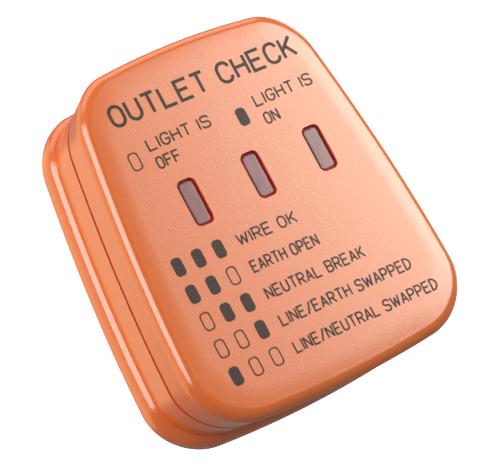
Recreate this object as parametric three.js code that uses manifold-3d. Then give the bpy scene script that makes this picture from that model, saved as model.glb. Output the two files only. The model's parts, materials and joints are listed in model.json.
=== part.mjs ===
// Outlet tester plug: a tapered two-shell body with three lamp windows on its face and
// three rectangular pins at its back. Millimetres.
// +Z points out of the face, +Y towards the top of the face and the earth pin, and the pins
// point along -Z. The origin is the middle of the rear face, which meets the socket.
import * as THREE from 'three';
import { mergeVertices } from 'three/addons/utils/BufferGeometryUtils.js';
import Module from 'manifold-3d';

const wasm = await Module();
wasm.setup();

// ---- driving dimensions ----
// outline of the front rim and of the rear flange
const HALF_WIDTH = 24.9;
const HALF_HEIGHT = 29.6;
const TOP_CORNER = 7.6;
const BOTTOM_CORNER = 9.1;
const SIDE_BOW = 1.45;
const END_BOW = 1.8;
const TAPER = 0.109;          // share by which the width grows from mid height to the bottom
const CORNER_STEPS = 6;
const SIDE_STEPS = 4;

// heights along the depth, and how far each level lies inside the outline
const BODY_DEPTH = 21.7;
const RIM_GROWTH = 0.35;      // how far the front rim stands outside the flange's outline
const RIM_ROUND = 2.0;
const ROUND_STEPS = 4;
const SEAM_Z = 12.24;
const SEAM_GAP = 0.9;
const SEAM_INSET = 0.56;
const FLANGE_SIDE = 2.0;      // top of the flange's upright side, where its shoulder starts
const FLANGE_INSET = 1.2;     // the shoulder's arc ends here, at the foot of the wall
const FLANGE_ROUND = 2.2;
const FLANGE_SWEEP = Math.acos(1 - FLANGE_INSET / FLANGE_ROUND);
const FLANGE_Z = FLANGE_SIDE + FLANGE_ROUND * Math.sin(FLANGE_SWEEP);
const REAR_ROUND = 0.4;
const WALL = 2.0;
const FLOOR = 2.4;
const TONGUE_DEPTH = 1.15;    // how far inside the outer wall the base's tongue stands
const TONGUE_WIDTH = 0.85;
const TONGUE_HEIGHT = 1.7;
const FIT = 0.15;             // clearance of a sliding or nesting fit
const GAP = 0.3;              // clearance between pieces that face each other

// lamp windows
const WINDOW_X = 1.45;        // the middle window stands a little right of the outline's middle
const WINDOW_PITCH = 12.9;
const WINDOW_Y = 5.3;
const WINDOW_WIDTH = 3.5;
const WINDOW_LENGTH = 8.2;
const WINDOW_CORNER = 1.05;
const LENS_GAP = 0.28;
const LENS_RECESS = 0.35;
const LENS_CROWN = 0.25;
const LENS_FLANGE = 0.9;
const LENS_FLANGE_THICK = 0.9;

// pins of a 13 A plug
const PIN_SPREAD = 22.23;     // line to neutral, and the earth pin above their line
const CURRENT_Y = -12.0;
const CURRENT_PIN = { width: 6.35, height: 3.97, length: 17.7, headWidth: 9.2, headHeight: 6.6 };
const EARTH_PIN = { width: 3.97, height: 7.95, length: 22.7, headWidth: 6.8, headHeight: 10.8 };
const PIN_CHAMFER = 1.1;
const PIN_CHAMFER_LENGTH = 1.8;
const SLEEVE_LENGTH = 9.5;
const SLEEVE_WALL = 0.55;
const SLEEVE_ROOT = 1.6;
const HEAD_LOW = FLOOR + GAP;
const HEAD_HIGH = HEAD_LOW + 2.7;

// contacts and the plate that clamps them on the pin heads
const STRIP = 0.5;
const CONTACT_WIDTH = 3.6;
const CONTACT_FOOT = 4.6;
const CONTACT_LEAF = 4.0;
const PLATE_LOW = HEAD_HIGH + GAP + STRIP + GAP;
const PLATE_THICK = 1.5;
const PLATE_SCREW = { x: 8, y: -2, head: 2.2, shank: 1.0, headHeight: 1.3, length: 5.0 };

// circuit board, lamps and resistors
const BOARD_LOW = 11.6;
const BOARD_THICK = 1.6;
const BOARD_TOP = BOARD_LOW + BOARD_THICK;
const BOARD_HALF_X = 21;
const BOARD_HALF_Y = 16.4;
const BOARD_SCREW = { x: 18.3, y: -9, head: 2.1, shank: 1.0, headHeight: 1.3, length: 5.6 };
const LAMP_RADIUS = 2.3;
const LAMP_LENGTH = 10.6;
const LAMP_WALL = 0.4;
const LAMP_Z = BOARD_TOP + 0.35 + LAMP_RADIUS;
const LEAD = 0.28;
const LEAD_SPREAD = 0.9;
const SHROUD_WALL = 1.2;
const RESISTOR_Y = -9;
const RESISTOR_RADIUS = 1.2;
const RESISTOR_LENGTH = 6.4;

// screws that join the shells
const CASE_SCREW = { head: 2.6, shank: 1.45, headHeight: 1.5, length: 13.5 };
const CASE_SCREWS = [
  { name: 'top_left', x: -16, y: 20.4 },
  { name: 'top_right', x: 16, y: 20.4 },
  { name: 'bottom_left', x: -18.4, y: -21 },
  { name: 'bottom_right', x: 18.4, y: -21 },
];
const SCREW_RECESS = 2.6;
const BASE_BOSS = 4.1;
const BASE_BOSS_TOP = 9.7;
const COVER_POST = 3.0;
const PILOT = 1.75;

const COVER_INSIDE = BODY_DEPTH - WALL;
const SIDES = [
  { name: 'left', index: -1 },
  { name: 'middle', index: 0 },
  { name: 'right', index: 1 },
];
const PAIR = [
  { name: 'left', sign: -1 },
  { name: 'right', sign: 1 },
];

// ---- materials ----
const moulding = new THREE.MeshStandardMaterial({ color: 0xf08450, roughness: 0.38, metalness: 0 });
const lensRed = new THREE.MeshStandardMaterial({ color: 0x9c7674, roughness: 0.3, metalness: 0 });
const brass = new THREE.MeshStandardMaterial({ color: 0xc9a24e, roughness: 0.3, metalness: 1 });
const sleeveBlack = new THREE.MeshStandardMaterial({ color: 0x161616, roughness: 0.5, metalness: 0 });
const steel = new THREE.MeshStandardMaterial({ color: 0xb4b6b8, roughness: 0.35, metalness: 1 });
const boardGreen = new THREE.MeshStandardMaterial({ color: 0x2c5c38, roughness: 0.6, metalness: 0 });
const glass = new THREE.MeshStandardMaterial({ color: 0xd8e0e2, roughness: 0.1, metalness: 0 });
const resistorTan = new THREE.MeshStandardMaterial({ color: 0xc8a878, roughness: 0.6, metalness: 0 });
const shroudWhite = new THREE.MeshStandardMaterial({ color: 0xe6e2da, roughness: 0.6, metalness: 0 });
const plateBrown = new THREE.MeshStandardMaterial({ color: 0x6a4a32, roughness: 0.6, metalness: 0 });

// ---- solids ----
function solid(geometry) {
  const bare = geometry.clone();
  for (const name of Object.keys(bare.attributes)) {
    if (name !== 'position') bare.deleteAttribute(name);
  }
  const merged = mergeVertices(bare, 1e-5);
  return new wasm.Manifold(new wasm.Mesh({
    numProp: 3,
    vertProperties: new Float32Array(merged.attributes.position.array),
    triVerts: new Uint32Array(merged.index.array),
  }));
}

function geometryOf(manifold) {
  const mesh = manifold.getMesh();
  const geometry = new THREE.BufferGeometry();
  geometry.setAttribute('position', new THREE.BufferAttribute(new Float32Array(mesh.vertProperties), 3));
  geometry.setIndex(new THREE.BufferAttribute(new Uint32Array(mesh.triVerts), 1));
  return geometry;
}

function join(first, ...rest) {
  return rest.reduce((sum, next) => sum.add(next), first);
}

function cut(body, ...tools) {
  return tools.reduce((left, tool) => left.subtract(tool), body);
}

// a closed skin over convex rings with the same number of points; each end is a strip that zigzags across
function loft(rings) {
  const count = rings[0].length;
  const positions = rings.flat(2);
  const index = [];
  for (let r = 0; r + 1 < rings.length; r += 1) {
    for (let i = 0; i < count; i += 1) {
      const a = r * count + i;
      const b = r * count + ((i + 1) % count);
      index.push(a, b, b + count, a, b + count, a + count);
    }
  }
  for (const [start, turned] of [[0, true], [(rings.length - 1) * count, false]]) {
    let near = start;
    let far = start + count - 1;
    for (let step = 0; far - near > 1; step += 1) {
      const between = step % 2 ? far - 1 : near + 1;
      index.push(...(turned ? [near, far, between] : [near, between, far]));
      if (step % 2) far = between;
      else near = between;
    }
  }
  const geometry = new THREE.BufferGeometry();
  geometry.setAttribute('position', new THREE.Float32BufferAttribute(positions, 3));
  geometry.setIndex(index);
  return solid(geometry);
}

function roundRect(width, height, radius) {
  const shape = new THREE.Shape();
  const x = width / 2 - radius;
  const y = height / 2 - radius;
  shape.absarc(x, y, radius, 0, Math.PI / 2);
  shape.absarc(-x, y, radius, Math.PI / 2, Math.PI);
  shape.absarc(-x, -y, radius, Math.PI, 1.5 * Math.PI);
  shape.absarc(x, -y, radius, 1.5 * Math.PI, 2 * Math.PI);
  return shape;
}

function prism(shape, low, high, x = 0, y = 0, steps = 2) {
  const options = { depth: high - low, bevelEnabled: false, curveSegments: steps };
  return solid(new THREE.ExtrudeGeometry(shape, options).translate(x, y, low));
}

function bar(width, height, low, high, x = 0, y = 0, radius = 0.3) {
  return prism(roundRect(width, height, radius), low, high, x, y, 1);
}

function rod(radius, low, high, x = 0, y = 0, sides = 12) {
  const turned = new THREE.CylinderGeometry(radius, radius, high - low, sides).rotateX(Math.PI / 2);
  return solid(turned.translate(x, y, (low + high) / 2));
}

// ---- outline ----
// a rounded rectangle whose sides bow out and whose width grows towards the bottom
function baseOutline() {
  const corners = [
    { sx: 1, sy: 1, radius: TOP_CORNER },
    { sx: -1, sy: 1, radius: TOP_CORNER },
    { sx: -1, sy: -1, radius: BOTTOM_CORNER },
    { sx: 1, sy: -1, radius: BOTTOM_CORNER },
  ];
  const arcs = corners.map(({ sx, sy, radius }, quarter) => {
    const points = [];
    for (let i = 0; i <= CORNER_STEPS; i += 1) {
      const angle = (quarter + i / CORNER_STEPS) * Math.PI / 2;
      const x = sx * (HALF_WIDTH - radius) + radius * Math.cos(angle);
      const y = sy * (HALF_HEIGHT - radius) + radius * Math.sin(angle);
      points.push([x, y]);
    }
    return points;
  });
  const points = [];
  arcs.forEach((arc, i) => {
    points.push(...arc);
    const [x0, y0] = arc.at(-1);
    const [x1, y1] = arcs[(i + 1) % arcs.length][0];
    for (let s = 1; s < SIDE_STEPS; s += 1) {
      points.push([x0 + (x1 - x0) * s / SIDE_STEPS, y0 + (y1 - y0) * s / SIDE_STEPS]);
    }
  });
  return points.map(([x, y]) => {
    const across = x / HALF_WIDTH;
    const up = y / HALF_HEIGHT;
    const bowedX = x + SIDE_BOW * (1 - up * up) * across;
    const bowedY = y + END_BOW * (1 - across * across) * up;
    return [bowedX * (1 - TAPER * up), bowedY];
  });
}

const OUTLINE = baseOutline();
const OUTLINE_X = Math.max(...OUTLINE.map(([x]) => x));
const OUTLINE_Y = Math.max(...OUTLINE.map(([, y]) => y));

function level(inset, z) {
  return OUTLINE.map(([x, y]) => [x * (1 - inset / OUTLINE_X), y * (1 - inset / OUTLINE_Y), z]);
}

// how far inside the outline the straight side wall lies at a height
function wallInset(z) {
  const rim = BODY_DEPTH - RIM_ROUND;
  if (z > SEAM_Z) return SEAM_INSET - (SEAM_INSET + RIM_GROWTH) * (z - SEAM_Z) / (rim - SEAM_Z);
  return SEAM_INSET + (FLANGE_INSET - SEAM_INSET) * (SEAM_Z - z) / (SEAM_Z - FLANGE_Z);
}

function windowX(index) {
  return WINDOW_X + index * WINDOW_PITCH;
}

// ---- shells ----
function frontCover() {
  const low = SEAM_Z + SEAM_GAP / 2;
  const rebate = SEAM_Z + TONGUE_HEIGHT + GAP;
  const rings = [level(wallInset(low), low)];
  for (let i = 0; i <= ROUND_STEPS; i += 1) {
    const turn = (i / ROUND_STEPS) * Math.PI / 2;
    const z = BODY_DEPTH - RIM_ROUND * (1 - Math.sin(turn));
    rings.push(level(RIM_ROUND * (1 - Math.cos(turn)) - RIM_GROWTH, z));
  }
  const inside = SEAM_INSET + WALL;
  const cavity = loft([level(inside, low - 1), level(wallInset(COVER_INSIDE) + WALL, COVER_INSIDE)]);
  const tongueRoom = SEAM_INSET + TONGUE_DEPTH - FIT;
  const rebateCut = loft([level(tongueRoom, low - 1), level(tongueRoom, rebate)]);
  const shell = cut(loft(rings), cavity, rebateCut);
  const posts = CASE_SCREWS.map(({ x, y }) => rod(COVER_POST, BASE_BOSS_TOP + GAP, COVER_INSIDE + 0.5, x, y));
  const boardPosts = PAIR.map(({ sign }) => {
    return rod(2.4, BOARD_TOP + GAP, COVER_INSIDE + 0.5, sign * BOARD_SCREW.x, BOARD_SCREW.y);
  });
  const pilots = CASE_SCREWS.map(({ x, y }) => rod(PILOT, BASE_BOSS_TOP, BODY_DEPTH - 4, x, y));
  const boardPilots = PAIR.map(({ sign }) => {
    return rod(1.3, BOARD_TOP, COVER_INSIDE - 1, sign * BOARD_SCREW.x, BOARD_SCREW.y);
  });
  const windows = SIDES.map(({ index }) => {
    const shape = roundRect(WINDOW_WIDTH, WINDOW_LENGTH, WINDOW_CORNER);
    return prism(shape, COVER_INSIDE - 1, BODY_DEPTH + 1, windowX(index), WINDOW_Y);
  });
  return cut(join(shell, ...posts, ...boardPosts), ...pilots, ...boardPilots, ...windows);
}

function rearBase() {
  const high = SEAM_Z - SEAM_GAP / 2;
  const rings = [level(REAR_ROUND, 0), level(0.3 * REAR_ROUND, 0.3 * REAR_ROUND), level(0, REAR_ROUND)];
  for (let i = 0; i <= ROUND_STEPS; i += 1) {
    const turn = (i / ROUND_STEPS) * FLANGE_SWEEP;
    const z = FLANGE_SIDE + FLANGE_ROUND * Math.sin(turn);
    rings.push(level(FLANGE_ROUND * (1 - Math.cos(turn)), z));
  }
  rings.push(level(wallInset(high), high));
  const inside = SEAM_INSET + TONGUE_DEPTH + TONGUE_WIDTH;
  const tongueTop = high + TONGUE_HEIGHT;
  const tongueOut = SEAM_INSET + TONGUE_DEPTH;
  const tongue = loft([level(tongueOut, high - 1), level(tongueOut, tongueTop)]);
  const cavity = loft([level(FLANGE_INSET + WALL, FLOOR), level(inside, high), level(inside, tongueTop + 1)]);
  const shell = cut(join(loft(rings), tongue), cavity);
  const bosses = CASE_SCREWS.map(({ x, y }) => rod(BASE_BOSS, FLOOR - 0.5, BASE_BOSS_TOP, x, y));
  const bores = CASE_SCREWS.map(({ x, y }) => rod(PILOT, -1, BASE_BOSS_TOP + 1, x, y));
  const recesses = CASE_SCREWS.map(({ x, y }) => rod(CASE_SCREW.head + GAP, -1, SCREW_RECESS, x, y));
  const plateLow = PLATE_LOW - GAP;
  const posts = PAIR.map(({ sign }) => rod(2.6, FLOOR - 0.5, plateLow, sign * PLATE_SCREW.x, PLATE_SCREW.y));
  const pilots = PAIR.map(({ sign }) => rod(1.3, 2.6, plateLow + 1, sign * PLATE_SCREW.x, PLATE_SCREW.y));
  const slots = PINS.map(({ spec, x, y }) => {
    return bar(spec.width + 2 * FIT, spec.height + 2 * FIT, -1, FLOOR + 1, x, y, 0.5);
  });
  return cut(join(shell, ...bosses, ...posts), ...bores, ...recesses, ...pilots, ...slots);
}

// ---- windows ----
// a crowned bar that fills the window, on a flange that bears behind the face
function lens() {
  const width = WINDOW_WIDTH - 2 * LENS_GAP;
  const length = WINDOW_LENGTH - 2 * LENS_GAP;
  const top = BODY_DEPTH - LENS_RECESS;
  const flangeTop = COVER_INSIDE - GAP;
  const shape = roundRect(width, length, WINDOW_CORNER - LENS_GAP);
  const outline = shape.getPoints(2);
  const steps = 2;
  const rings = [];
  for (const [inset, z] of crownLevels(steps, top)) {
    rings.push(outline.map(({ x, y }) => [x * (1 - 2 * inset / width), y * (1 - 2 * inset / length), z]));
  }
  const low = flangeTop - LENS_FLANGE_THICK;
  rings.unshift(outline.map(({ x, y }) => [x, y, low + 0.2]));
  const flangeWidth = width + 2 * LENS_FLANGE;
  const flangeLength = length + 2 * LENS_FLANGE;
  const flange = bar(flangeWidth, flangeLength, low, flangeTop, 0, 0, 0.8);
  return join(loft(rings), flange);
}

function crownLevels(steps, top) {
  return Array.from({ length: steps + 1 }, (_, i) => {
    const turn = (i / steps) * Math.PI / 2;
    return [LENS_CROWN * (1 - Math.cos(turn)), top - LENS_CROWN * (1 - Math.sin(turn))];
  });
}

// ---- pins ----
const PINS = [
  { name: 'line', spec: CURRENT_PIN, x: PIN_SPREAD / 2, y: CURRENT_Y, sleeved: true },
  { name: 'neutral', spec: CURRENT_PIN, x: -PIN_SPREAD / 2, y: CURRENT_Y, sleeved: true },
  { name: 'earth', spec: EARTH_PIN, x: 0, y: CURRENT_Y + PIN_SPREAD, sleeved: false },
];

function pin({ spec, sleeved }) {
  const { width, height, length, headWidth, headHeight } = spec;
  const edge = 0.35;
  const tip = -length;
  const shoulder = tip + PIN_CHAMFER_LENGTH;
  const outline = roundRect(width, height, edge).getPoints(1);
  const narrowed = (inset, z) => {
    return outline.map(({ x, y }) => [x * (1 - 2 * inset / width), y * (1 - 2 * inset / height), z]);
  };
  const bladeTop = sleeved ? -SLEEVE_LENGTH - FIT : HEAD_LOW + 0.5;
  const blade = loft([
    narrowed(PIN_CHAMFER, tip),
    narrowed(0.2 * PIN_CHAMFER, shoulder - 0.25 * PIN_CHAMFER_LENGTH),
    narrowed(0, shoulder),
    narrowed(0, bladeTop),
  ]);
  const neckInset = SLEEVE_WALL + FIT;
  const neck = bar(width - 2 * neckInset, height - 2 * neckInset, bladeTop - 0.5, HEAD_LOW + 0.5);
  const head = bar(headWidth, headHeight, HEAD_LOW, HEAD_HIGH, 0, 0, 0.5);
  return sleeved ? join(blade, neck, head) : join(blade, head);
}

function sleeve({ width, height }) {
  const outer = bar(width, height, -SLEEVE_LENGTH, SLEEVE_ROOT, 0, 0, 0.45);
  const hole = bar(width - 2 * SLEEVE_WALL, height - 2 * SLEEVE_WALL, -SLEEVE_LENGTH - 1, SLEEVE_ROOT + 1);
  return cut(outer, hole);
}

// ---- contacts ----
// a bent strip: a foot on the pin head, a riser through the plate and a leaf under the board
function contact() {
  const footLow = HEAD_HIGH + GAP;
  const leafTop = BOARD_LOW - GAP;
  const foot = bar(CONTACT_WIDTH, CONTACT_FOOT, footLow, footLow + STRIP, 0, 0, 0.2);
  const end = CONTACT_FOOT / 2 - STRIP / 2;
  const riser = bar(CONTACT_WIDTH, STRIP, footLow, leafTop, 0, end, 0.1);
  const leafY = end + CONTACT_LEAF / 2 - STRIP / 2;
  const leaf = bar(CONTACT_WIDTH, CONTACT_LEAF, leafTop - STRIP, leafTop, 0, leafY, 0.2);
  return join(foot, riser, leaf);
}

function pinPlate() {
  const shape = new THREE.Shape();
  const low = CURRENT_Y - 5;
  const shoulder = CURRENT_Y + 5;
  const top = CURRENT_Y + PIN_SPREAD + 6;
  const corners = [[-16, low], [16, low], [16, shoulder], [6, top], [-6, top], [-16, shoulder]];
  corners.forEach(([x, y], i) => (i ? shape.lineTo(x, y) : shape.moveTo(x, y)));
  shape.closePath();
  const plate = prism(shape, PLATE_LOW, PLATE_LOW + PLATE_THICK);
  const riserY = CONTACT_FOOT / 2 - STRIP / 2;
  const below = PLATE_LOW - 1;
  const above = PLATE_LOW + PLATE_THICK + 1;
  const slots = PINS.map(({ x, y }) => {
    return bar(CONTACT_WIDTH + 2 * GAP, STRIP + 2 * GAP, below, above, x, y + riserY);
  });
  const holes = PAIR.map(({ sign }) => rod(1.3, below, above, sign * PLATE_SCREW.x, PLATE_SCREW.y));
  return cut(plate, ...slots, ...holes);
}

// ---- board and what is on it ----
function circuitBoard() {
  const board = bar(2 * BOARD_HALF_X, 2 * BOARD_HALF_Y, BOARD_LOW, BOARD_TOP, 0, 0, 1.5);
  const holes = PAIR.map(({ sign }) => {
    return rod(1.4, BOARD_LOW - 1, BOARD_TOP + 1, sign * BOARD_SCREW.x, BOARD_SCREW.y);
  });
  return cut(board, ...holes);
}

// glass envelope lying along +Y, domed at the far end and open at the near end
function lampGlass() {
  const half = LAMP_LENGTH / 2;
  const bore = LAMP_RADIUS - LAMP_WALL;
  const profile = [[bore, -half], [LAMP_RADIUS, -half], [LAMP_RADIUS, half - LAMP_RADIUS]];
  const steps = 3;
  for (let i = 1; i < steps; i += 1) {
    const turn = (i / steps) * Math.PI / 2;
    profile.push([LAMP_RADIUS * Math.cos(turn), half - LAMP_RADIUS + LAMP_RADIUS * Math.sin(turn)]);
  }
  profile.push([0, half]);
  profile.push([0, half - LAMP_WALL]);
  for (let i = steps - 1; i > 0; i -= 1) {
    const turn = (i / steps) * Math.PI / 2;
    profile.push([bore * Math.cos(turn), half - LAMP_RADIUS + bore * Math.sin(turn)]);
  }
  profile.push([bore, half - LAMP_RADIUS], [bore, -half]);
  return solid(new THREE.LatheGeometry(profile.map(([x, y]) => new THREE.Vector2(x, y)), 12));
}

function lead(points, radius) {
  const path = new THREE.CurvePath();
  for (let i = 0; i + 1 < points.length; i += 1) {
    path.add(new THREE.LineCurve3(new THREE.Vector3(...points[i]), new THREE.Vector3(...points[i + 1])));
  }
  return path.curves.map(({ v1, v2 }) => {
    const along = v2.clone().sub(v1);
    const turned = new THREE.CylinderGeometry(radius, radius, along.length() + radius, 6);
    const turn = new THREE.Quaternion().setFromUnitVectors(new THREE.Vector3(0, 1, 0), along.normalize());
    const middle = v1.clone().add(v2).multiplyScalar(0.5);
    return solid(turned.applyQuaternion(turn).translate(middle.x, middle.y, middle.z));
  });
}

// a glass bead that closes the envelope, with the two electrodes and their bent leads
function lampElectrodes() {
  const near = -LAMP_LENGTH / 2;
  const bead = rod(LAMP_RADIUS - LAMP_WALL - FIT, 0, 1.4).rotate([-90, 0, 0]).translate([0, near, 0]);
  const down = BOARD_TOP + 0.1 - LAMP_Z;
  const wires = [-1, 1].flatMap((sign) => {
    const x = sign * LEAD_SPREAD;
    return lead([[x, near + 7.5, 0], [x, near - 0.7, 0], [x, near - 0.7, down + LEAD]], LEAD);
  });
  return join(bead, ...wires);
}

function resistor() {
  const half = RESISTOR_LENGTH / 2;
  const waist = 0.86 * RESISTOR_RADIUS;
  const profile = [
    [0, -half], [0.7 * RESISTOR_RADIUS, -half],
    [RESISTOR_RADIUS, -half + 0.4], [RESISTOR_RADIUS, -half + 1.3],
    [waist, -half + 1.7], [waist, half - 1.7], [RESISTOR_RADIUS, half - 1.3], [RESISTOR_RADIUS, half - 0.4],
    [0.7 * RESISTOR_RADIUS, half], [0, half],
  ];
  const body = solid(new THREE.LatheGeometry(profile.map(([x, y]) => new THREE.Vector2(x, y)), 10));
  const down = -RESISTOR_RADIUS - 0.2;
  const ends = [-1, 1].flatMap((sign) => {
    const bend = sign * (half + 1.4);
    return lead([[0, sign * (half - 0.3), 0], [0, bend, 0], [0, bend, down + LEAD]], LEAD);
  });
  return join(body, ...ends);
}

// a block with a slot round each lamp
function lampShroud() {
  const low = BOARD_TOP + GAP;
  const high = COVER_INSIDE - 2 * GAP - LENS_FLANGE_THICK;
  const slotWidth = 2 * (LAMP_RADIUS + GAP);
  const slotLength = LAMP_LENGTH + 3.2;
  const slotShift = -0.8;
  const width = 2 * WINDOW_PITCH + slotWidth + 2 * SHROUD_WALL;
  const length = slotLength + 2 * SHROUD_WALL;
  const block = bar(width, length, low, high, WINDOW_X, WINDOW_Y + slotShift, 1);
  const slots = SIDES.map(({ index }) => {
    return bar(slotWidth, slotLength, low - 1, high + 1, windowX(index), WINDOW_Y + slotShift, 0.8);
  });
  return cut(block, ...slots);
}

// ---- screws ----
// drawn with the head at the origin, its top along +Z and the shank below, with a cross slot
function screw({ head, shank, headHeight, length }) {
  const profile = [
    [0, headHeight], [0.6 * head, headHeight], [head, 0.4 * headHeight],
    [head, 0], [shank, 0], [shank, -length + shank], [0, -length],
  ].reverse();
  const body = solid(new THREE.LatheGeometry(profile.map(([x, y]) => new THREE.Vector2(x, y)), 12));
  const turned = body.rotate([90, 0, 0]);
  const slot = bar(0.3 * head, 1.25 * head, headHeight * 0.45, headHeight + 1, 0, 0, 0.1);
  return cut(turned, slot, slot.rotate([0, 0, 90]));
}

// ---- assembly ----
const tester = new THREE.Group();

function place(name, manifold, material, x = 0, y = 0, z = 0, turnX = 0) {
  const mesh = new THREE.Mesh(geometryOf(manifold), material);
  mesh.name = name;
  mesh.position.set(x, y, z);
  mesh.rotation.x = turnX;
  tester.add(mesh);
}

place('front_cover', frontCover(), moulding);
place('rear_base', rearBase(), moulding);
for (const { name, index } of SIDES) {
  place(`lens_${name}`, lens(), lensRed, windowX(index), WINDOW_Y);
}

for (const one of PINS) {
  place(`${one.name}_pin`, pin(one), brass, one.x, one.y);
  place(`${one.name}_contact`, contact(), brass, one.x, one.y);
  if (one.sleeved) place(`${one.name}_sleeve`, sleeve(one.spec), sleeveBlack, one.x, one.y);
}
place('pin_plate', pinPlate(), plateBrown);
for (const { name, sign } of PAIR) {
  const seat = PLATE_LOW + PLATE_THICK + GAP;
  place(`plate_screw_${name}`, screw(PLATE_SCREW), steel, sign * PLATE_SCREW.x, PLATE_SCREW.y, seat);
}

place('circuit_board', circuitBoard(), boardGreen);
for (const { name, index } of SIDES) {
  const x = windowX(index);
  place(`lamp_${name}`, lampGlass(), glass, x, WINDOW_Y, LAMP_Z);
  place(`electrodes_${name}`, lampElectrodes(), steel, x, WINDOW_Y, LAMP_Z);
  place(`resistor_${name}`, resistor(), resistorTan, x, RESISTOR_Y, BOARD_TOP + RESISTOR_RADIUS + 0.3);
}
place('lamp_shroud', lampShroud(), shroudWhite);
for (const { name, sign } of PAIR) {
  const seat = BOARD_LOW - GAP;
  place(`board_screw_${name}`, screw(BOARD_SCREW), steel, sign * BOARD_SCREW.x, BOARD_SCREW.y, seat, Math.PI);
}
for (const { name, x, y } of CASE_SCREWS) {
  place(`case_screw_${name}`, screw(CASE_SCREW), steel, x, y, SCREW_RECESS - FIT, Math.PI);
}

export default tester;
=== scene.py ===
"""Outlet tester plug: visible shells, windows, pins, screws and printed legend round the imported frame."""
import json
import math

import bmesh
import bpy
from mathutils import Matrix, Vector


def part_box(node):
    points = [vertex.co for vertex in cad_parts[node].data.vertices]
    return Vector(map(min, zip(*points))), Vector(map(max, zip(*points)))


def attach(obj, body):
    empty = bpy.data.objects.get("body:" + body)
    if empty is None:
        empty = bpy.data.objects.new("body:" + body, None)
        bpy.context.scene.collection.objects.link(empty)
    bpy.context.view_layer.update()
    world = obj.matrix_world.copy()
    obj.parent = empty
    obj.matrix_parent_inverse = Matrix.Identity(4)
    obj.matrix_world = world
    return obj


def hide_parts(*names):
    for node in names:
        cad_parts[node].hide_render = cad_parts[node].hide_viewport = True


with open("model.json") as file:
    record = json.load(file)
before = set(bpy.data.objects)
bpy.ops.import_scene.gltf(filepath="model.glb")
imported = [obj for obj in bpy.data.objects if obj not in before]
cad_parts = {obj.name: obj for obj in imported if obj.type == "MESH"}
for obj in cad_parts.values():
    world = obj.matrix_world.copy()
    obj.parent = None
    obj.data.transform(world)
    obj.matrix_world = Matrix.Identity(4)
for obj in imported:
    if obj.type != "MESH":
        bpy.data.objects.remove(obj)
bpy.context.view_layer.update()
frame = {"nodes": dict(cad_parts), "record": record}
nodes = frame["nodes"]
MM = 0.001

SIDES = ("left", "middle", "right")
PINS = ("line", "neutral", "earth")
SLEEVED = ("line", "neutral")

# ---- driving dimensions, in millimetres ----
HALF_WIDTH = 24.9
HALF_HEIGHT = 29.6
TOP_CORNER = 7.6
BOTTOM_CORNER = 9.1
SIDE_BOW = 1.45
END_BOW = 1.8
TAPER = 0.109
CORNER_STEPS = 22
SIDE_STEPS = 20

FACE_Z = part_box("front_cover")[1].z / MM
RIM_GROWTH = 0.35
RIM_ROUND = 2.0
RIM_STEPS = 16
# the face falls by the drop over the last few millimetres before the rim
DOME_WIDTH = 3.0
DOME_DROP = 0.2
DOME_STEPS = 10
DOME_TILT = math.degrees(2 * DOME_DROP / DOME_WIDTH)
WALL = 2.0
SEAM_INSET = 0.56
SEAM_GAP = 0.9
TONGUE_HEIGHT = 1.7
TONGUE_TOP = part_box("rear_base")[1].z / MM
SEAM_LOW = TONGUE_TOP - TONGUE_HEIGHT
SEAM_HIGH = SEAM_LOW + SEAM_GAP
SEAM_EDGE = 0.12
# the rear shell's thin lip along the seam, and the shallow groove behind it
LIP_EDGE = 0.04
LIP_CREST = 1.6 * LIP_EDGE
LIP_FOOT = 2 * LIP_EDGE
SHADOW_GROOVE = 0.08
TONGUE_INSET = 1.7
TONGUE_WIDTH = 0.85
TONGUE_CLEARANCE = 0.3
# distances from the seam of the rings up and down the sides
RISES = (0.6, 2.5, 5.0)
FALLS = (1.2, 3.5, 6.0)
FLANGE_SIDE = 2.0
FLANGE_INSET = 1.2
FLANGE_ROUND = 2.2
FLANGE_STEPS = 12
FLANGE_SWEEP = math.degrees(math.acos(1 - FLANGE_INSET / FLANGE_ROUND))
FLANGE_Z = FLANGE_SIDE + FLANGE_ROUND * math.sin(math.radians(FLANGE_SWEEP))
REAR_ROUND = 0.4
REAR_BORDER = 0.15
BASE_FLOOR = 2.4
SOFT_EDGE = 0.12
FINE_EDGE = 0.06
CUT_PAST = 1.0
SAME_HEIGHT = 0.01

WINDOW_WIDTH = 3.5
WINDOW_LENGTH = 8.2
WINDOW_CORNER = 1.05
LENS_GAP = 0.28
LENS_EDGE = 0.3
LENS_EDGE_STEPS = 8
LENS_BORDER = 0.06
LENS_HEIGHT = 2.0
LENS_SKIRT = 0.24
LENS_STEP = 0.2
# the painted red shade ends this share of the step's depth below the window's top
RED_SHADE_SHARE = 0.8

CLEARANCE = 0.15
PIN_EDGE = 0.35
PIN_HOLE_CORNER = 0.5
PIN_TAPER = 1.1
PIN_TAPER_LENGTH = 1.8
# shares of the taper's depth and length at which it bends
PIN_BEND = (0.2, 0.75)
EARTH_SECTION = (3.97, 7.95)
SLEEVE_LENGTH = 9.5
SLEEVE_WALL = 0.55
SLEEVE_CORNER = 0.45
# how much the sleeve's corner radius falls for each millimetre of inset
SLEEVE_CORNER_FALL = 0.3
SLEEVE_FOOT = 0.35
SLEEVE_FOOT_TAPER = 0.12

SCREW_PLACES = ("top_left", "top_right", "bottom_left", "bottom_right")
HEAD_RADIUS = 2.6
HEAD_THICKNESS = 1.5
HEAD_CROWN = 0.35
HEAD_DOME = 0.95
HEAD_STEPS = 7
SCREW_RECESS = 2.6
RECESS_CLEARANCE = 0.3
SHANK_RADIUS = 1.45
POINT_LENGTH = 1.4
POINT_RADIUS = 0.2
SLOT_WIDTH = 0.62
SLOT_LENGTH = 3.1
SLOT_DEPTH = 1.0
SLOT_TAPER = 0.6
SLOT_CORNERS = (0.12, 0.1)

# ---- legend ----
INK = 0.03
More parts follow.
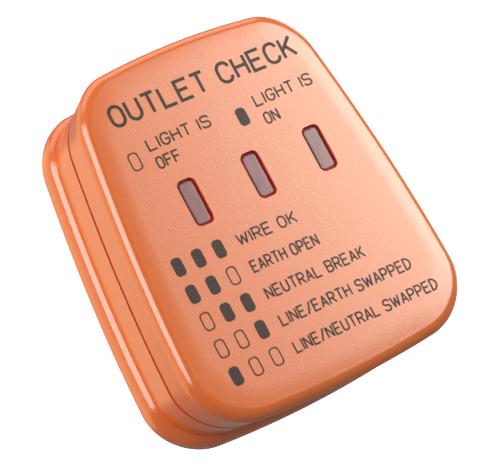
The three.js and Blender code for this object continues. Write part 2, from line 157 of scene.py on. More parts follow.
# each stroke of a letter is this much higher than the one before, so that they don't share a plane
INK_STAGGER = 0.1 * INK
MARK_COLUMNS = (-19.8, -15.8, -11.7)
MARK_ROWS = (-3.29, -8.22, -13.15, -18.07, -23.0)
MARK_WIDTH = 2.0
MARK_LENGTH = 3.2
MARK_CORNER = 0.75
MARK_LINE = 0.24
ROW_HEIGHT = 2.2
ROW_START = -8.1
ROW_TILT = -0.02
# one row of the legend: lit lamps, words and where the words end
ROWS = (
    ("111", "WIRE OK", 3.9),
    ("110", "EARTH OPEN", 5.6),
    ("011", "NEUTRAL BREAK", 12.3),
    ("001", "LINE/EARTH SWAPPED", 19.3),
    ("100", "LINE/NEUTRAL SWAPPED", 22.0),
)
# words, left end, right end, baseline, height of the capitals
CAPTIONS = (
    ("OUTLET CHECK", -18.3, 19.6, 21.3, 4.0),
    ("LIGHT IS", -14.6, -1.9, 15.75, 2.25),
    ("OFF", -14.5, -9.8, 12.4, 2.25),
    ("LIGHT IS", 7.2, 19.4, 15.75, 2.25),
    ("ON", 7.45, 10.5, 12.3, 2.25),
)
OFF_MARK = (-17.8, 15.22)
ON_MARK = (3.95, 15.22)

# a letter is a list of strokes on a unit square; r rounds a corner and z closes a stroke
LETTERS = {
    "A": ("0,0 .5,1", ".5,1 1,0", ".17,.33 .83,.33"),
    "B": ("0,0 0,1 1,1r 1,.53r 0,.53", "0,.53 1,.53r 1,0r 0,0"),
    "C": ("1,.74 1,1r 0,1r 0,0r 1,0r 1,.26",),
    "D": ("0,0 0,1 1,1r 1,0r z",),
    "E": ("1,1 0,1 0,0 1,0", "0,.52 .85,.52"),
    "F": ("1,1 0,1 0,0", "0,.52 .85,.52"),
    "G": ("1,.74 1,1r 0,1r 0,0r 1,0r 1,.46 .5,.46",),
    "H": ("0,0 0,1", "1,0 1,1", "0,.52 1,.52"),
    "I": ("0,0 0,1",),
    "K": ("0,0 0,1", "1,1 0,.38", ".36,.6 1,0"),
    "L": ("0,1 0,0 1,0",),
    "N": ("0,0 0,1", "0,1 1,0", "1,0 1,1"),
    "O": ("0,1r 1,1r 1,0r 0,0r z",),
    "P": ("0,0 0,1 1,1r 1,.45r 0,.45",),
    "R": ("0,0 0,1 1,1r 1,.47r 0,.47", ".5,.47 1,0"),
    "S": ("1,.78 1,1r 0,1r 0,.53r 1,.49r 1,0r 0,0r 0,.22",),
    "T": ("0,1 1,1", ".5,1 .5,0"),
    "U": ("0,1 0,0r 1,0r 1,1",),
    "W": ("0,1 .25,0", ".25,0 .5,.85", ".5,.85 .75,0", ".75,0 1,1"),
    "/": ("0,-.04 1,1.04",),
    " ": (),
}
LETTER_WIDTHS = {"I": 0.0, "W": 1.4, "/": 0.75, " ": 0.35}
LETTER_WIDTH = 0.52
LETTER_SPACE = 0.22
LETTER_LINE = 0.145
MITRE_LIMIT = 0.45
SAME_PLACE = 1e-4

# ---- camera and stage ----
CAMERA_PLACE = (-194.8, -48.1, 354.26)
# the directions to the right and to the top of the picture
CAMERA_RIGHT = (0.79344, -0.46834, 0.38872)
CAMERA_UP = (0.35904, 0.87587, 0.32242)
CAMERA_LENS = 170.4
STAGE_AIM = (0, 0, 10)
FLOOR_Z = -600.0
FLOOR_HALF = 20000.0


# ---- mesh tools ----
def new_object(name, vertices, faces, smooth=True):
    mesh = bpy.data.meshes.new(name)
    mesh.from_pydata([Vector(v) * MM for v in vertices], [], faces)
    work = bmesh.new()
    work.from_mesh(mesh)
    bmesh.ops.recalc_face_normals(work, faces=work.faces)
    work.to_mesh(mesh)
    work.free()
    for face in mesh.polygons:
        face.use_smooth = smooth
    made = bpy.data.objects.new(name, mesh)
    bpy.context.scene.collection.objects.link(made)
    return made


def loft(name, rings, closed=False):
    """A skin over rings with the same number of points, with its ends capped unless the rings close."""
    count = len(rings[0])
    faces = []
    for r in range(len(rings) if closed else len(rings) - 1):
        low, high = r * count, (r + 1) % len(rings) * count
        for i in range(count):
            j = (i + 1) % count
            faces.append((low + i, low + j, high + j, high + i))
    if not closed:
        faces.append(tuple(range(count)))
        faces.append(tuple(range((len(rings) - 1) * count, len(rings) * count)))
    return new_object(name, [p for ring in rings for p in ring], faces)


def bake_modifiers(made):
    graph = bpy.context.evaluated_depsgraph_get()
    mesh = bpy.data.meshes.new_from_object(made.evaluated_get(graph))
    made.modifiers.clear()
    made.data = mesh


def carve(body, cutters):
    """Takes the cutters out of the body, then removes them."""
    for cutter in cutters:
        step = body.modifiers.new("cut", "BOOLEAN")
        step.object = cutter
        step.solver = "EXACT"
    bake_modifiers(body)
    for cutter in cutters:
        bpy.data.objects.remove(cutter)


def soften(made, width, angle=40, segments=3):
    """Rounds the sharp edges and weights the normals so that flat faces stay flat."""
    bevel = made.modifiers.new("edges", "BEVEL")
    bevel.width = width * MM
    bevel.segments = segments
    bevel.limit_method = "ANGLE"
    bevel.angle_limit = math.radians(angle)
    bevel.miter_outer = "MITER_ARC"
    weigh(made)


def weigh(made):
    normals = made.modifiers.new("normals", "WEIGHTED_NORMAL")
    normals.weight = 60
    normals.keep_sharp = True


# ---- outlines ----
# the signs of x and y in each quarter, anticlockwise from the top right
QUARTERS = ((1, 1), (-1, 1), (-1, -1), (1, -1))


def shell_outline():
    """The bowed and tapered outline, as points of the rim."""
    arcs = []
    for quarter, (side_x, side_y) in enumerate(QUARTERS):
        radius = TOP_CORNER if side_y > 0 else BOTTOM_CORNER
        centre_x = side_x * (HALF_WIDTH - radius)
        centre_y = side_y * (HALF_HEIGHT - radius)
        turns = [(quarter + i / CORNER_STEPS) * math.pi / 2 for i in range(CORNER_STEPS + 1)]
        arcs.append([(centre_x + radius * math.cos(a), centre_y + radius * math.sin(a)) for a in turns])
    points = []
    for arc, following in zip(arcs, arcs[1:] + arcs[:1]):
        points += arc
        (x0, y0), (x1, y1) = arc[-1], following[0]
        shares = [i / SIDE_STEPS for i in range(1, SIDE_STEPS)]
        points += [(x0 + (x1 - x0) * share, y0 + (y1 - y0) * share) for share in shares]
    return [bow(x, y) for x, y in points]


def bow(x, y):
    """Bulges the sides and ends of the plain rounded rectangle, then narrows it towards the top."""
    across, up = x / HALF_WIDTH, y / HALF_HEIGHT
    bowed_x = x + SIDE_BOW * (1 - up * up) * across
    bowed_y = y + END_BOW * (1 - across * across) * up
    return bowed_x * (1 - TAPER * up), bowed_y


OUTLINE = shell_outline()
OUTLINE_X = max(x for x, _ in OUTLINE)
OUTLINE_Y = max(y for _, y in OUTLINE)


def level(inset, z):
    """The body's outline at a height, drawn in by an inset."""
    across, up = 1 - inset / OUTLINE_X, 1 - inset / OUTLINE_Y
    return [(x * across, y * up, z) for x, y in OUTLINE]


def arc_levels(centre_inset, centre_z, radius, start, end, steps=6):
    """Rings along a round edge; 0 degrees faces outwards and 90 degrees up."""
    rings = []
    for i in range(steps + 1):
        turn = math.radians(start + (end - start) * i / steps)
        rings.append(level(centre_inset - radius * math.cos(turn), centre_z + radius * math.sin(turn)))
    return rings


def round_box(width, height, radius, steps=8):
    """The outline of a rectangle with round corners, as points."""
    points = []
    for quarter, (side_x, side_y) in enumerate(QUARTERS):
        for i in range(steps + 1):
            turn = (quarter + i / steps) * math.pi / 2
            x = side_x * (width / 2 - radius) + radius * math.cos(turn)
            y = side_y * (height / 2 - radius) + radius * math.sin(turn)
            points.append((x, y))
    return points


def box_ring(width, height, radius, z, x=0.0, y=0.0, steps=8):
    return [(px + x, py + y, z) for px, py in round_box(width, height, radius, steps)]


def circle_ring(radius, z, x=0.0, y=0.0, count=40):
    turns = [2 * math.pi * i / count for i in range(count)]
    return [(x + radius * math.cos(a), y + radius * math.sin(a), z) for a in turns]


def centre_of(node):
    low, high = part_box(node)
    return (low + high) / 2 / MM


# ---- shells ----
def wall_inset(z):
    """How far the side stands in from the outline: most at the flange's top, least at the rim."""
    rim = FACE_Z - RIM_ROUND
    seam = (SEAM_LOW + SEAM_HIGH) / 2
    if z > seam:
        return SEAM_INSET - (SEAM_INSET + RIM_GROWTH) * (z - seam) / (rim - seam)
    return SEAM_INSET + (FLANGE_INSET - SEAM_INSET) * (seam - z) / (seam - FLANGE_Z)


def front_shell():
    """The cover: its inside and rebate, the seam's edge, the side, the rim and the slightly domed face."""
    inside = SEAM_INSET + WALL
    rebate = TONGUE_INSET - CLEARANCE
    rebate_top = TONGUE_TOP + TONGUE_CLEARANCE
    edge = wall_inset(SEAM_HIGH + SEAM_EDGE)
    rings = [level(inside, FACE_Z - WALL), level(inside, rebate_top)]
    rings += [level(rebate, rebate_top), level(rebate, SEAM_HIGH)]
    rings += arc_levels(edge + SEAM_EDGE, SEAM_HIGH + SEAM_EDGE, SEAM_EDGE, -90, 0)
    rings += [level(wall_inset(SEAM_HIGH + rise), SEAM_HIGH + rise) for rise in RISES]
    foot = RIM_ROUND - RIM_GROWTH
    rings += arc_levels(foot, FACE_Z - RIM_ROUND - DOME_DROP, RIM_ROUND, 0, 90 - DOME_TILT, RIM_STEPS)
    for i in range(DOME_STEPS + 1):
        share = 1 - i / DOME_STEPS
        rings.append(level(foot + DOME_WIDTH * (1 - share), FACE_Z - DOME_DROP * share * share))
    shell = loft("front_shell", rings)
    cutters = []
    for side in SIDES:
        at = centre_of(f"lens_{side}")
        ends = (FACE_Z - WALL - CUT_PAST, FACE_Z + CUT_PAST)
        opening = [box_ring(WINDOW_WIDTH, WINDOW_LENGTH, WINDOW_CORNER, z, at.x, at.y) for z in ends]
        cutters.append(loft("cutter", opening))
    carve(shell, cutters)
    soften(shell, SOFT_EDGE)
    return shell


def rear_shell():
    """The base: the inside and its tongue, the seam's groove, the side, the flange and the rear face."""
    inside = TONGUE_INSET + TONGUE_WIDTH
    groove = SEAM_LOW - SHADOW_GROOVE
    lip = wall_inset(SEAM_LOW - LIP_EDGE)
    rings = [level(FLANGE_INSET + WALL, BASE_FLOOR), level(inside, SEAM_LOW), level(inside, TONGUE_TOP)]
    rings += [level(TONGUE_INSET, TONGUE_TOP), level(TONGUE_INSET, groove)]
    rings += [level(lip + LIP_FOOT, groove), level(lip + LIP_CREST, SEAM_LOW)]
    rings += arc_levels(lip + LIP_EDGE, SEAM_LOW - LIP_EDGE, LIP_EDGE, 90, 0)
    rings += [level(wall_inset(SEAM_LOW - fall), SEAM_LOW - fall) for fall in FALLS]
    rings += arc_levels(FLANGE_ROUND, FLANGE_SIDE, FLANGE_ROUND, FLANGE_SWEEP, 0, FLANGE_STEPS)
    rings += arc_levels(REAR_ROUND, REAR_ROUND, REAR_ROUND, 0, -90)
    rings += [level(REAR_ROUND + REAR_BORDER, 0)]
    shell = loft("rear_shell", rings)
    carve(shell, rear_cutters())
    soften(shell, SOFT_EDGE)
    return shell


def rear_cutters():
    """The holes that the pins pass through and the recesses of the case screws."""
    cutters = []
    for name in PINS:
        at = centre_of(f"{name}_pin")
        width, height = (side + 2 * CLEARANCE for side in pin_section(name))
        ends = (-CUT_PAST, BASE_FLOOR + CUT_PAST)
        hole = [box_ring(width, height, PIN_HOLE_CORNER, z, at.x, at.y) for z in ends]
        cutters.append(loft("cutter", hole))
    for place in SCREW_PLACES:
        at = centre_of(f"case_screw_{place}")
        ends = (-CUT_PAST, SCREW_RECESS)
        recess = [circle_ring(HEAD_RADIUS + RECESS_CLEARANCE, z, at.x, at.y) for z in ends]
        cutters.append(loft("cutter", recess))
    return cutters


# ---- windows ----
def lens(side):
    """A round-cornered block with its top edge rounded over, a hairline groove and a slightly wider step."""
    at = centre_of(f"lens_{side}")
    width, length = WINDOW_WIDTH - 2 * LENS_GAP, WINDOW_LENGTH - 2 * LENS_GAP
    corner = WINDOW_CORNER - LENS_GAP
    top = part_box(f"lens_{side}")[1].z / MM
    levels = [(-LENS_SKIRT, top - LENS_HEIGHT), (-LENS_SKIRT, top - LENS_STEP), (0, top - LENS_STEP)]
    for i in range(LENS_EDGE_STEPS + 1):
        turn = math.radians(90 * i / LENS_EDGE_STEPS)
        levels.append((LENS_EDGE * (1 - math.cos(turn)), top - LENS_EDGE * (1 - math.sin(turn))))
    levels.append((LENS_EDGE + LENS_BORDER, top))
    rings = []
    for inset, z in levels:
        sides = (width - 2 * inset, length - 2 * inset, corner - inset)
        rings.append(box_ring(*sides, z, at.x, at.y, steps=16))
    made = loft(f"window_{side}", rings)
    weigh(made)
    return made


# ---- pins and screws ----
def pin_section(name):
    """A sleeved pin is as wide and as thick as its sleeve."""
    if name not in SLEEVED:
        return EARTH_SECTION
    low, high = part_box(f"{name}_sleeve")
    size = (high - low) / MM
    return size.x, size.y


def pin(name):
    """A tapered blade, and above it the thinner part inside the sleeve, if it has one."""
    at = centre_of(f"{name}_pin")
    width, height = pin_section(name)
    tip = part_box(f"{name}_pin")[0].z / MM
    bend_inset, bend_rise = PIN_BEND
    levels = [(PIN_TAPER, tip), (bend_inset * PIN_TAPER, tip + bend_rise * PIN_TAPER_LENGTH)]
    levels.append((0, tip + PIN_TAPER_LENGTH))
    if name in SLEEVED:
        top = -SLEEVE_LENGTH - CLEARANCE
        neck = SLEEVE_WALL + CLEARANCE
        levels += [(0, top), (neck, top), (neck, BASE_FLOOR)]
    else:
        levels.append((0, BASE_FLOOR))
    rings = []
    for inset, z in levels:
        rings.append(box_ring(width - 2 * inset, height - 2 * inset, PIN_EDGE, z, at.x, at.y, steps=5))
    made = loft(f"{name}_blade", rings)
    soften(made, SOFT_EDGE, angle=25)
    return made


def sleeve(name):
    """A tube round the pin, slightly narrower at its foot."""
    at = centre_of(f"{name}_sleeve")
    width, height = pin_section(name)
    low, high = -SLEEVE_LENGTH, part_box(f"{name}_sleeve")[1].z / MM
    levels = [(SLEEVE_WALL, high), (0, high), (0, low + SLEEVE_FOOT)]
    levels += [(SLEEVE_FOOT_TAPER, low), (SLEEVE_WALL, low)]
    rings = []
    for inset, z in levels:
        corner = SLEEVE_CORNER - SLEEVE_CORNER_FALL * inset
        rings.append(box_ring(width - 2 * inset, height - 2 * inset, corner, z, at.x, at.y, steps=5))
    made = loft(f"{name}_insulation", rings, closed=True)
    soften(made, FINE_EDGE, angle=30)
    return made


def case_screw(place):
    """A pan head with a cross recess, seen from behind."""
    at = centre_of(f"case_screw_{place}")
    low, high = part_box(f"case_screw_{place}")
    base, end = low.z / MM, high.z / MM
    seat = base + HEAD_THICKNESS
    levels = []
    for i in range(HEAD_STEPS + 1):
        turn = math.radians(90 * i / HEAD_STEPS)
        radius = HEAD_CROWN + (HEAD_RADIUS - HEAD_CROWN) * math.sin(turn)
        levels.append((radius, base + HEAD_DOME * (1 - math.cos(turn))))
    levels += [(HEAD_RADIUS, seat), (SHANK_RADIUS, seat)]
    levels += [(SHANK_RADIUS, end - POINT_LENGTH), (POINT_RADIUS, end)]
    screw = loft(f"screw_{place}", [circle_ring(radius, z, at.x, at.y) for radius, z in levels])
    cutters = []
    near_corner, far_corner = SLOT_CORNERS
    for wide, tall in ((SLOT_WIDTH, SLOT_LENGTH), (SLOT_LENGTH, SLOT_WIDTH)):
        near = box_ring(wide, tall, near_corner, base - CUT_PAST, at.x, at.y)
        far = box_ring(wide * SLOT_TAPER, tall * SLOT_TAPER, far_corner, base + SLOT_DEPTH, at.x, at.y)
        cutters.append(loft("cutter", [near, far]))
    carve(screw, cutters)
    soften(screw, FINE_EDGE, angle=35, segments=2)
    return screw


# ---- legend ----
def parse(stroke, scale_x, scale_y):
    """A stroke's points, each with whether it is rounded, and whether the stroke closes on itself."""
    points, closed = [], False
    for token in stroke.split():
        if token == "z":
            closed = True
            continue
        x, y = token.rstrip("r").split(",")
        points.append((Vector((float(x) * scale_x, float(y) * scale_y)), token.endswith("r")))
    return points, closed


def fillet(points, steps=6):
    """Replaces each rounded corner by the largest circular arc that its neighbours leave room for."""
    count = len(points)
    path = []
    for i, (point, rounded) in enumerate(points):
        if not rounded:
            path.append(point)
            continue
        neighbours = (points[i - 1], points[(i + 1) % count])
        reach = min((other - point).length * (0.5 if also else 1) for other, also in neighbours)
        before, after = ((other - point).normalized() for other, _ in neighbours)
        start, end = point + before * reach, point + after * reach
        sharpness = math.sin(before.angle(after) / 2)
        for step in range(steps + 1):
            t = step / steps
            first, middle, last = (1 - t) ** 2, 2 * t * (1 - t) * sharpness, t * t
            path.append((start * first + point * middle + end * last) / (first + middle + last))
    return [p for i, p in enumerate(path) if i == 0 or (p - path[i - 1]).length > SAME_PLACE]


def sides_of(path, closed, width):
    """The left and right edges of a stroke of that width, mitred at its corners."""
    count = len(path)
    left, right = [], []
    for i, point in enumerate(path):
        before = path[i - 1] if closed or i else None
        after = path[(i + 1) % count] if closed or i + 1 < count else None
        into = (point - before).normalized() if before is not None else None
        out = (after - point).normalized() if after is not None else None
        into, out = into or out, out or into
        along = (into + out).normalized()
        across = Vector((-along.y, along.x)) * (width / 2)
        across /= max(along.dot(into), MITRE_LIMIT)
        left.append(point + across)
        right.append(point - across)
    return left, right


class Ink:
    """Collects thin closed prisms that lie on the face."""

    def __init__(self):
        self.vertices, self.faces, self.strokes = [], [], 0

    def prism(self, left, right, closed, to_face):
        """A band between two edges, about INK thick, staggered in height so that crossing bands differ."""
        low = FACE_Z - INK / 2
        high = FACE_Z + INK / 2 + (self.strokes % 4) * INK_STAGGER
        self.strokes += 1
        start, count = len(self.vertices), len(left)
        for one, other in zip(left, right):
            for edge, z in ((one, high), (other, high), (other, low), (one, low)):
                self.vertices.append((*to_face(edge), z))
        for i in range(count if closed else count - 1):
            here, there = start + 4 * i, start + 4 * ((i + 1) % count)
            for corner in range(4):
                following = (corner + 1) % 4
                self.faces.append((here + corner, here + following, there + following, there + corner))
        if not closed:
            end = start + 4 * (count - 1)
            self.faces.append(tuple(range(start, start + 4)))
            self.faces.append(tuple(range(end, end + 4)))

    def patch(self, rim, to_face):
        """A filled prism inside a closed rim, INK thick."""
        start, count = len(self.vertices), len(rim)
        for z in (FACE_Z - INK / 2, FACE_Z + INK / 2):
            self.vertices += [(*to_face(p), z) for p in rim]
        for i in range(count):
            j = (i + 1) % count
            self.faces.append((start + i, start + j, start + count + j, start + count + i))
        self.faces.append(tuple(range(start, start + count)))
        self.faces.append(tuple(range(start + count, start + 2 * count)))

    def words(self, text, start, end, baseline, height, tilt=0.0):
        """Letters from start to end along a baseline, spread to fill the length."""
        line = LETTER_LINE * height
        widths = [LETTER_WIDTHS.get(c, 1.0) * LETTER_WIDTH * height for c in text]
        space = LETTER_SPACE * height
        fit = (end - start - line) / (sum(widths) + space * (len(text) - 1))
        at = start + line / 2
        for letter, width in zip(text, widths):
            for stroke in LETTERS[letter]:
                points, closed = parse(stroke, width * fit, height - line)
                origin = Vector((at, baseline + line / 2))

                def to_face(point, origin=origin):
                    x, y = origin + point
                    return x, y + tilt * (x - start)

                left, right = sides_of(fillet(points), closed, line)
                self.prism(left, right, closed, to_face)
            at += (width + space) * fit

    def mark(self, x, y, lit):
        """A rounded bar, filled for a lit lamp and outlined for a dark one."""
        rim = [Vector(p) for p in round_box(MARK_WIDTH, MARK_LENGTH, MARK_CORNER)]
        rim = [p for i, p in enumerate(rim) if (p - rim[i - 1]).length > SAME_PLACE]

        def to_face(point):
            return point.x + x, point.y + y

        if lit:
            self.patch(rim, to_face)
            return
        narrow, shorter = 1 - 2 * MARK_LINE / MARK_WIDTH, 1 - 2 * MARK_LINE / MARK_LENGTH
        inner = [Vector((p.x * narrow, p.y * shorter)) for p in rim]
        self.prism(rim, inner, True, to_face)


def legend():
    ink = Ink()
    for row, (lit, words, end) in zip(MARK_ROWS, ROWS):
        for column, state in zip(MARK_COLUMNS, lit):
            ink.mark(column, row, state == "1")
        ink.words(words, ROW_START, end, row - ROW_HEIGHT / 2, ROW_HEIGHT, ROW_TILT)
    for words, start, end, baseline, height in CAPTIONS:
        ink.words(words, start, end, baseline, height)
    ink.mark(*OFF_MARK, False)
    ink.mark(*ON_MARK, True)
    return new_object("printed_legend", ink.vertices, ink.faces, smooth=False)


# ---- materials ----
def material(name, colour, roughness, metallic=0.0, **inputs):
    made = bpy.data.materials.new(name)
    made.use_nodes = True
    shader = made.node_tree.nodes["Principled BSDF"]
    shader.inputs["Base Color"].default_value = (*colour, 1)
    shader.inputs["Roughness"].default_value = roughness
    shader.inputs["Metallic"].default_value = metallic
    for key, value in inputs.items():
        shader.inputs[key.replace("_", " ")].default_value = value
    return made, made.node_tree, shader


def add(tree, kind, **values):
    node = tree.nodes.new(kind)
    for key, value in values.items():
        if hasattr(node, key):
            setattr(node, key, value)
        else:
            node.inputs[key.replace("_", " ")].default_value = value
    return node


def noise(tree, scale_mm, detail=3.0, roughness=0.55):
    """Noise whose features are about scale_mm across, in the object's own space."""
    place = add(tree, "ShaderNodeTexCoord")
    made = add(tree, "ShaderNodeTexNoise", Scale=1 / (scale_mm * MM), Detail=detail, Roughness=roughness)
    tree.links.new(place.outputs["Object"], made.inputs["Vector"])
    return made.outputs["Fac"]


def streaks(tree, scale_mm, stretch):
    """Noise drawn out along each axis whose stretch is below 1."""
    place = add(tree, "ShaderNodeTexCoord")
    drawn = add(tree, "ShaderNodeMapping")
    drawn.inputs["Scale"].default_value = stretch
    tree.links.new(place.outputs["Object"], drawn.inputs["Vector"])
    made = add(tree, "ShaderNodeTexNoise", Scale=1 / (scale_mm * MM), Detail=3.0)
    tree.links.new(drawn.outputs["Vector"], made.inputs["Vector"])
    return made.outputs["Fac"]


def spread(tree, source, low, high, start=0.0, end=1.0):
    made = add(tree, "ShaderNodeMapRange")
    for key, value in zip(("From Min", "From Max", "To Min", "To Max"), (start, end, low, high)):
        made.inputs[key].default_value = value
    tree.links.new(source, made.inputs["Value"])
    return made.outputs["Result"]


def blend(tree, factor, first, second):
    made = tree.nodes.new("ShaderNodeMix")
    made.data_type = "RGBA"
    made.inputs["A"].default_value = (*first, 1)
    made.inputs["B"].default_value = (*second, 1)
    tree.links.new(factor, made.inputs["Factor"])
    return made.outputs["Result"]


def bump(tree, shader, height, strength, depth_mm):
    made = add(tree, "ShaderNodeBump", Strength=strength, Distance=depth_mm * MM)
    tree.links.new(height, made.inputs["Height"])
    tree.links.new(made.outputs["Normal"], shader.inputs["Normal"])


def multiply(tree, first, second):
    made = add(tree, "ShaderNodeMath", operation="MULTIPLY")
    for socket, value in zip(made.inputs, (first, second)):
        if isinstance(value, float):
            socket.default_value = value
        else:
            tree.links.new(value, socket)
    return made.outputs[0]


def face_mask(tree):
    """1 on the flat face, 0 on the sides and the rounded rim, by how far the surface looks upwards."""
    place = add(tree, "ShaderNodeTexCoord")
    split = add(tree, "ShaderNodeSeparateXYZ")
    tree.links.new(place.outputs["Normal"], split.inputs[0])
    rim_ends, face_starts = 0.955, 0.995
    return spread(tree, split.outputs["Z"], 0.0, 1.0, rim_ends, face_starts)


def orange_moulding():
    """Smooth and glossy on the sides, finely grained and duller on the face."""
    made, tree, shader = material(
        "orange_moulding", (0.7, 0.136, 0.015), 0.3, IOR=1.58, Specular_IOR_Level=1.0,
        Subsurface_Weight=0.15, Subsurface_Radius=(1.0, 0.35, 0.12), Subsurface_Scale=1.2 * MM,
    )
    tint = blend(tree, noise(tree, 9.0), (0.71, 0.14, 0.016), (0.69, 0.132, 0.014))
    tree.links.new(tint, shader.inputs["Base Color"])
    mask = face_mask(tree)
    tree.links.new(spread(tree, mask, 0.19, 0.35), shader.inputs["Roughness"])
    grain = multiply(tree, noise(tree, 0.28, 2.0, 0.6), spread(tree, mask, 0.04, 1.0))
    bump(tree, shader, grain, 0.5, 0.06)
    return made


def seam_shade():
    """Painted shade: a deeper, more saturated orange on the groove faces under the joint line, standing in
    for the shade and the light bounced between the orange walls there.
    """
    made, tree, shader = material("seam_shade", (0.78, 0.105, 0.015), 0.55)
    grain = noise(tree, 0.8)
    tint = blend(tree, grain, (0.75, 0.1, 0.014), (0.81, 0.112, 0.016))
    tree.links.new(tint, shader.inputs["Base Color"])
    bump(tree, shader, grain, 0.2, 0.02)
    return made


def legend_ink():
    made, tree, shader = material("legend_ink", (0.055, 0.032, 0.028), 0.42, Specular_IOR_Level=0.25)
    tint = blend(tree, noise(tree, 0.35), (0.035, 0.02, 0.017), (0.08, 0.044, 0.038))
    tree.links.new(tint, shader.inputs["Base Color"])
    bump(tree, shader, noise(tree, 0.2, 2.0, 0.6), 0.5, 0.06)
    return made


def window_plastic():
    """Dull mauve, with streaks along the window's length: the lighter streaks are painted highlight, and the
    same noise gives them a faint relief.
    """
    made, tree, shader = material(
        "window_plastic", (0.2, 0.045, 0.05), 0.42, IOR=1.58, Specular_IOR_Level=0.8,
    )
    grain = streaks(tree, 0.8, (1.0, 0.25, 1.0))
    tint = blend(tree, grain, (0.09, 0.035, 0.037), (0.34, 0.06, 0.07))
    tree.links.new(tint, shader.inputs["Base Color"])
    bump(tree, shader, grain, 0.5, 0.03)
    return made


def window_rim_shade():
    """Painted shade: a deep red on each window's lower step and on the walls of its opening in the cover,
    standing in for the shaded gap round the lens; on the lens's step it is partly the lens's own red.
    """
    made, tree, shader = material("window_rim_shade", (0.45, 0.022, 0.012), 0.6)
    grain = noise(tree, 0.6)
    tint = blend(tree, grain, (0.38, 0.017, 0.01), (0.52, 0.03, 0.016))
    tree.links.new(tint, shader.inputs["Base Color"])
    bump(tree, shader, grain, 0.2, 0.03)
    return made


def pin_brass():
    """Drawn brass, with fine scratches along the pins."""
    made, tree, shader = material("pin_brass", (0.78, 0.56, 0.25), 0.25, 1.0)
    tint = blend(tree, noise(tree, 4.0), (0.8, 0.58, 0.27), (0.7, 0.47, 0.19))
    tree.links.new(tint, shader.inputs["Base Color"])
    scratches = streaks(tree, 0.12, (1.0, 1.0, 0.06))
    tree.links.new(spread(tree, scratches, 0.18, 0.42), shader.inputs["Roughness"])
    bump(tree, shader, scratches, 0.2, 0.02)
    return made


def simple(name, first, second, grain_mm, rough_low, rough_high, metallic=0.0):
    """A material whose colour, roughness and relief all vary with one fine noise."""
    made, tree, shader = material(name, first, rough_low, metallic)
    grain = noise(tree, grain_mm)
    tree.links.new(blend(tree, grain, first, second), shader.inputs["Base Color"])
    tree.links.new(spread(tree, grain, rough_low, rough_high), shader.inputs["Roughness"])
    bump(tree, shader, grain, 0.2, 0.03)
    return made


def lamp_glass():
    made, tree, shader = material(
        "lamp_glass", (0.95, 0.97, 0.97), 0.04, Transmission_Weight=0.9, IOR=1.5,
    )
    tree.links.new(spread(tree, noise(tree, 1.5), 0.02, 0.08), shader.inputs["Roughness"])
    return made


def paint(made, look):
    made.data.materials.clear()
    made.data.materials.append(look)


def paint_some(made, look, chosen):
    """Gives a second look to the faces whose lowest and highest points, in millimetres, are chosen."""
    made.data.materials.append(look)
    for face in made.data.polygons:
        heights = [made.data.vertices[i].co.z / MM for i in face.vertices]
        if chosen(min(heights), max(heights)):
            face.material_index = 1


# ---- stage ----
def camera():
    data = bpy.data.cameras.new("camera")
    data.sensor_width = 36
    data.lens = CAMERA_LENS
    data.clip_start = 0.01
    made = bpy.data.objects.new("camera", data)
    bpy.context.scene.collection.objects.link(made)
    right, up = Vector(CAMERA_RIGHT), Vector(CAMERA_UP)
    turn = Matrix((right, up, right.cross(up))).transposed().to_4x4()
    made.matrix_world = Matrix.Translation(Vector(CAMERA_PLACE) * MM) @ turn
    bpy.context.scene.camera = made


def softbox(name, place, width, height, power, colour):
    """A rectangular light aimed at the middle of the part, and hidden from the camera."""
    data = bpy.data.lights.new(name, "AREA")
    data.shape = "RECTANGLE"
    data.size, data.size_y = width * MM, height * MM
    data.energy = power
    data.color = colour
    made = bpy.data.objects.new(name, data)
    bpy.context.scene.collection.objects.link(made)
    made.location = Vector(place) * MM
    made.visible_camera = False
    direction = Vector(STAGE_AIM) * MM - made.location
    made.rotation_mode = "QUATERNION"
    made.rotation_quaternion = direction.to_track_quat("-Z", "Y")


def backdrop():
    """A white floor far below the part, which neither lights it nor shows in its gloss."""
    half = FLOOR_HALF
    corners = ((-half, -half), (half, -half), (half, half), (-half, half))
    floor = new_object("floor", [(x, y, FLOOR_Z) for x, y in corners], [(0, 1, 2, 3)], smooth=False)
    look, _, _ = material("floor", (0.9, 0.9, 0.9), 0.6, Emission_Color=(1, 1, 1, 1), Emission_Strength=1.0)
    paint(floor, look)
    floor.visible_diffuse = False
    floor.visible_glossy = False
    return floor


def studio():
    scene = bpy.context.scene
    scene.view_settings.view_transform = "Standard"
    world = bpy.data.worlds.new("studio")
    world.use_nodes = True
    background = world.node_tree.nodes["Background"]
    background.inputs["Color"].default_value = (1, 1, 1, 1)
    background.inputs["Strength"].default_value = 0.25
    scene.world = world
    softbox("key", (200, 35, 210), 200, 100, 0.62, (0.88, 1.0, 0.92))
    softbox("side", (-470, 215, 290), 430, 480, 2.8, (1.0, 0.96, 0.9))
    softbox("bounce", (-330, 190, -300), 700, 700, 1.4, (1.0, 0.77, 0.45))
    softbox("back", (60, 650, 90), 900, 500, 2.0, (1.0, 0.94, 0.86))
    softbox("right", (600, 90, -290), 600, 600, 0.9, (1.0, 0.94, 0.86))
    floor = backdrop()


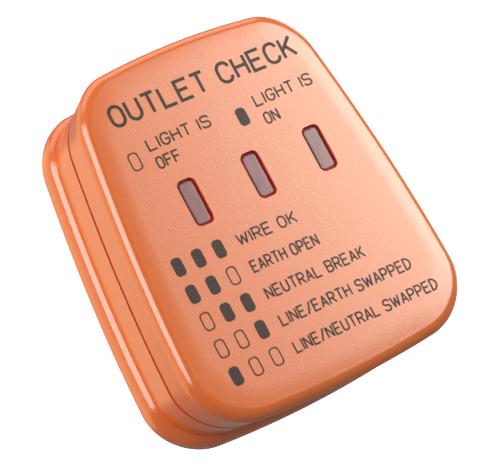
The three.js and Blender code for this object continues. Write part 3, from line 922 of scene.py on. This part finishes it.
# ---- assembly ----
def show(made, look, slot, *replaced):
    paint(made, look)
    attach(made, "root")
    if replaced:
        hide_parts(*replaced)


camera()
studio()

orange = orange_moulding()
brass = pin_brass()
window = window_plastic()
rim = window_rim_shade()
steel = simple("plated_steel", (0.62, 0.63, 0.64), (0.5, 0.5, 0.52), 0.5, 0.2, 0.4, 1.0)
black = simple("black_insulation", (0.012, 0.012, 0.013), (0.025, 0.024, 0.024), 0.3, 0.35, 0.55)

cover = front_shell()
show(cover, orange, "moulding", "front_cover")
# painted shade: the walls of the window openings in the cover take the deep red of the window rim shade, not
# the orange moulding
paint_some(cover, rim, lambda low, high: low < FACE_Z - WALL + SAME_HEIGHT and high > FACE_Z - SAME_HEIGHT)
base = rear_shell()
show(base, orange, "moulding", "rear_base")
# painted shade: the groove faces under the joint line take the deeper, more saturated orange of the seam
# shade
paint_some(base, seam_shade(), lambda low, _: abs(low - SEAM_LOW + SHADOW_GROOVE) < SAME_HEIGHT)
for side in SIDES:
    made = lens(side)
    show(made, window, "lens", f"lens_{side}")
    # painted shade: the lens faces below the step take the deep red of the window rim shade
    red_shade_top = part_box(f"lens_{side}")[1].z / MM - RED_SHADE_SHARE * LENS_STEP
    paint_some(made, rim, lambda _, high, red_shade_top=red_shade_top: high < red_shade_top)
for name in PINS:
    show(pin(name), brass, "pin_brass", f"{name}_pin")
for name in SLEEVED:
    show(sleeve(name), black, "sleeve", f"{name}_sleeve")
for place in SCREW_PLACES:
    show(case_screw(place), steel, "screw_steel", f"case_screw_{place}")
show(legend(), legend_ink(), "legend_ink")

inner_looks = {
    "pin_brass": brass,
    "screw_steel": steel,
    "plate": simple("brown_laminate", (0.16, 0.07, 0.03), (0.1, 0.045, 0.02), 0.8, 0.4, 0.6),
    "board": simple("green_board", (0.02, 0.1, 0.035), (0.03, 0.14, 0.05), 0.5, 0.3, 0.5),
    "lamp_glass": lamp_glass(),
    "resistor": simple("tan_lacquer", (0.55, 0.35, 0.16), (0.45, 0.28, 0.13), 0.4, 0.3, 0.5),
    "shroud": simple("white_moulding", (0.78, 0.75, 0.7), (0.7, 0.67, 0.62), 0.4, 0.4, 0.6),
}
for entry in frame["record"]["subparts"]:
    if entry["material_slot"] in inner_looks:
        paint(nodes[entry["node"]], inner_looks[entry["material_slot"]])
